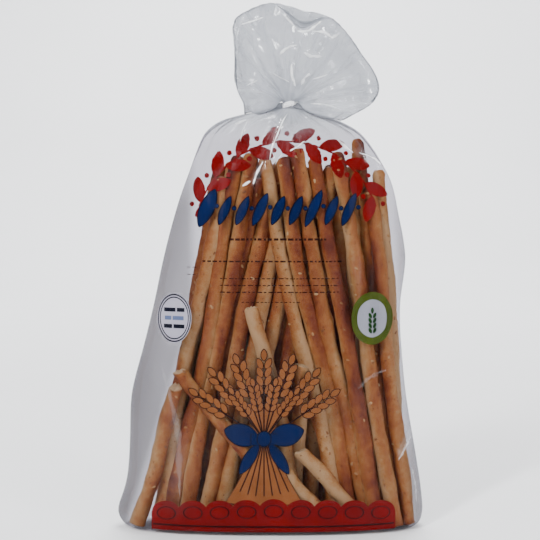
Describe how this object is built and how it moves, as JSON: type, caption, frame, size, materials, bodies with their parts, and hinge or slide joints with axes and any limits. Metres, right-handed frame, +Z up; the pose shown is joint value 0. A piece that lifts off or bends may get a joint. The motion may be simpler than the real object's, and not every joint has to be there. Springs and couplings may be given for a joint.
{
  "type": "bag of sesame breadsticks",
  "caption": "Tall clear film bag filled with long sesame breadsticks, gathered and tied near the top into an open tuft, standing upright on its flat base.",
  "frame": {"origin": "centre of the flat base, on the surface that the bag stands on", "axes": "+Z up along the bag to its tuft, +X across the bag to the viewer's right, -Y out of the front"},
  "size_m": [0.2156, 0.0646, 0.3656],
  "materials": {
    "filled_film": "clear glossy packing film over baked breadsticks",
    "tie": "white plastic-covered tie",
    "bread": "dry baked crust, cream to toasted brown",
    "seed": "toasted sesame seed",
    "film": "clear thin glossy film",
    "print": "ink printed on the film, in red, blue, tan and green fields"
  },
  "bodies": {
    "root": {"bag": "filled_film", "neck_tie": "tie"}
  },
  "joints": []
}
